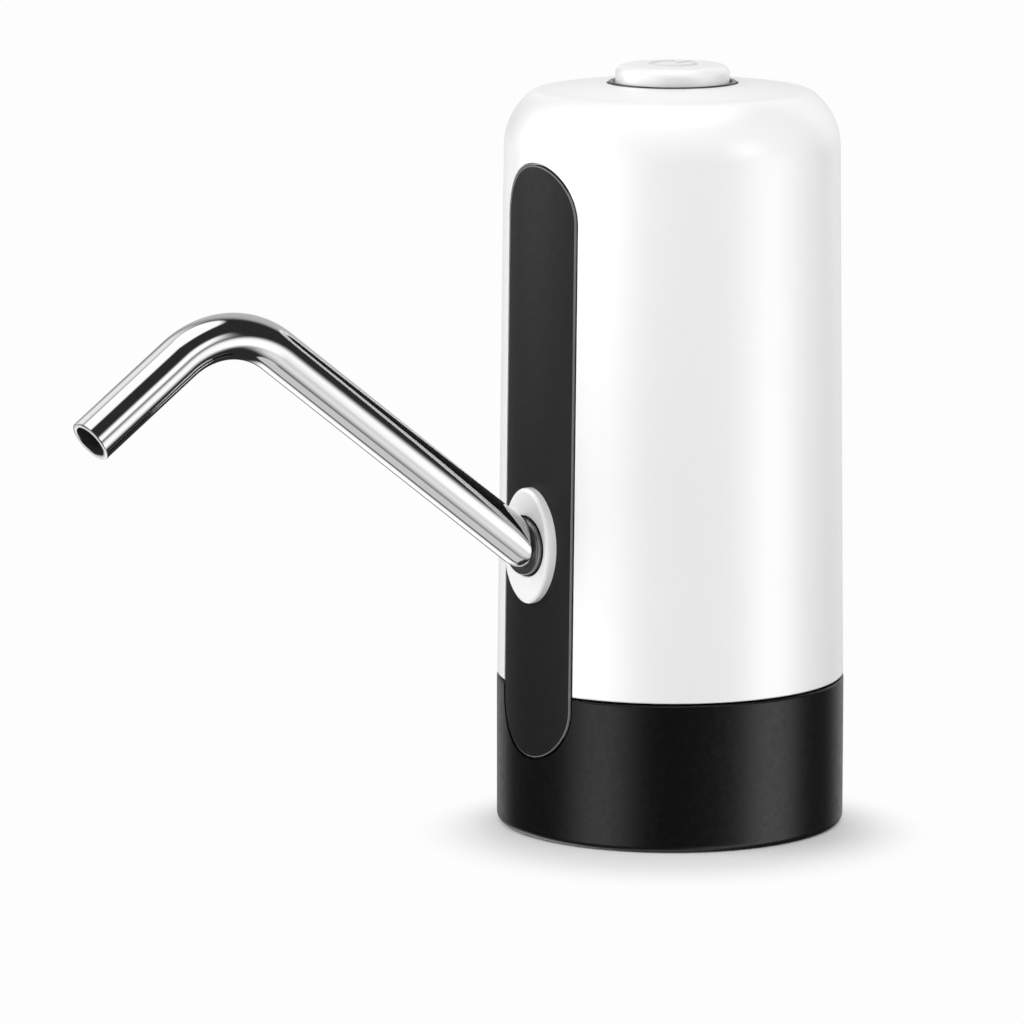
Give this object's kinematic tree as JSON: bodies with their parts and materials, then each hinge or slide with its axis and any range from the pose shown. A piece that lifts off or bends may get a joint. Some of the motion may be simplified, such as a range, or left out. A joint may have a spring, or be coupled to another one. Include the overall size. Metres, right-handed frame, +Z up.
{
  "type": "electric water jug pump",
  "caption": "Cylindrical electric pump that sits on a water bottle's neck, with a push button on top and a bent steel spout that swivels and pulls out.",
  "frame": {"origin": "centre of the neck socket's flat ceiling, which rests on the bottle's mouth, on the body's axis", "axes": "+Z up along the body's axis, -Y towards the spout's tip, +X to the right seen from the front"},
  "size_m": [0.066, 0.1653, 0.1447],
  "materials": {
    "white_plastic": "smooth white ABS, satin to gloss",
    "black_plastic": "fine matte black ABS",
    "charcoal_plastic": "fine matte charcoal ABS",
    "boot_rubber": "dark silicone",
    "hose_rubber": "milky silicone hose",
    "dark_ring": "dark metallic ring",
    "spout_steel": "polished stainless steel",
    "plain_steel": "plain steel",
    "screw_steel": "zinc plated steel",
    "grey_plastic": "grey POM",
    "frame_plastic": "natural ABS",
    "dark_plastic": "dark nylon",
    "magnet_iron": "ferrite and laminated iron",
    "brass": "brass",
    "cell_steel": "shrink-wrapped lithium cell",
    "board_green": "solder-masked glass epoxy",
    "lamp_lens": "clear lamp lens",
    "red_lead": "red insulation",
    "black_lead": "black insulation"
  },
  "bodies": {
    "housing": {"base_skirt": "black_plastic", "neck_boot": "boot_rubber", "upper_shell": "white_plastic", "front_strip": "charcoal_plastic", "spout_flange": "white_plastic", "button_bezel": "dark_ring", "charge_socket": "plain_steel", "charge_lamp": "lamp_lens", "housing_screw_1": "screw_steel", "housing_screw_2": "screw_steel", "housing_screw_3": "screw_steel", "housing_screw_4": "screw_steel", "inlet_nipple": "grey_plastic", "nipple_seal": "boot_rubber", "inlet_hose": "hose_rubber", "pump_cover": "grey_plastic", "pump_body": "grey_plastic", "pump_screw_1": "screw_steel", "pump_screw_2": "screw_steel", "pump_screw_3": "screw_steel", "shaft_seal": "boot_rubber", "outlet_hose": "hose_rubber", "outlet_port": "grey_plastic", "bush_seal": "boot_rubber", "motor_can": "plain_steel", "motor_end_cap": "dark_plastic", "magnet_left": "magnet_iron", "magnet_right": "magnet_iron", "brush_front": "brass", "brush_back": "brass", "motor_screw_1": "screw_steel", "motor_screw_2": "screw_steel", "chassis": "frame_plastic", "chassis_screw_1": "screw_steel", "chassis_screw_2": "screw_steel", "chassis_screw_3": "screw_steel", "battery_cell": "cell_steel", "battery_tab_bottom": "plain_steel", "battery_tab_top": "plain_steel", "circuit_board": "board_green", "board_screw_1": "screw_steel", "board_screw_2": "screw_steel", "switch_body": "dark_plastic", "control_chip": "dark_plastic", "motor_lead_black": "black_lead", "motor_lead_red": "red_lead", "battery_lead_black": "black_lead", "battery_lead_red": "red_lead", "button_spring": "plain_steel"},
    "button": {"button_cap": "white_plastic", "switch_plunger": "dark_plastic"},
    "rotor": {"motor_shaft": "plain_steel", "armature": "magnet_iron", "commutator": "brass", "drive_gear": "frame_plastic"},
    "idler": {"driven_gear": "frame_plastic", "idler_shaft": "plain_steel"},
    "bush": {"swivel_bush": "dark_plastic", "spout_seal": "boot_rubber"},
    "spout": {"spout_tube": "spout_steel"}
  },
  "joints": [
    {"name": "button_press", "type": "slide", "parent": "housing", "child": "button", "axis": [0, 0, -1], "range_m": [0, 0.0015], "stiffness_N_per_m": 400, "springref_m": -0.0025, "deforming": ["button_spring"]},
    {"name": "motor_spin", "type": "hinge", "parent": "housing", "child": "rotor", "pos_m": [-0.0165, 0.002, 0.0526], "axis": [0, 0, 1], "continuous": true},
    {"name": "idler_spin", "type": "hinge", "parent": "housing", "child": "idler", "pos_m": [-0.0065, 0.002, 0.0304], "axis": [0, 0, 1], "continuous": true},
    {"name": "spout_swivel", "type": "hinge", "parent": "housing", "child": "bush", "pos_m": [0, -0.0336, 0.031], "axis": [0, -1, 0], "continuous": true},
    {"name": "spout_pull", "type": "slide", "parent": "bush", "child": "spout", "axis": [0, -1, 0], "range_m": [0, 0.0162]}
  ],
  "couplings": [
    {"joint": "idler_spin", "follows": "motor_spin", "ratio": -1}
  ]
}
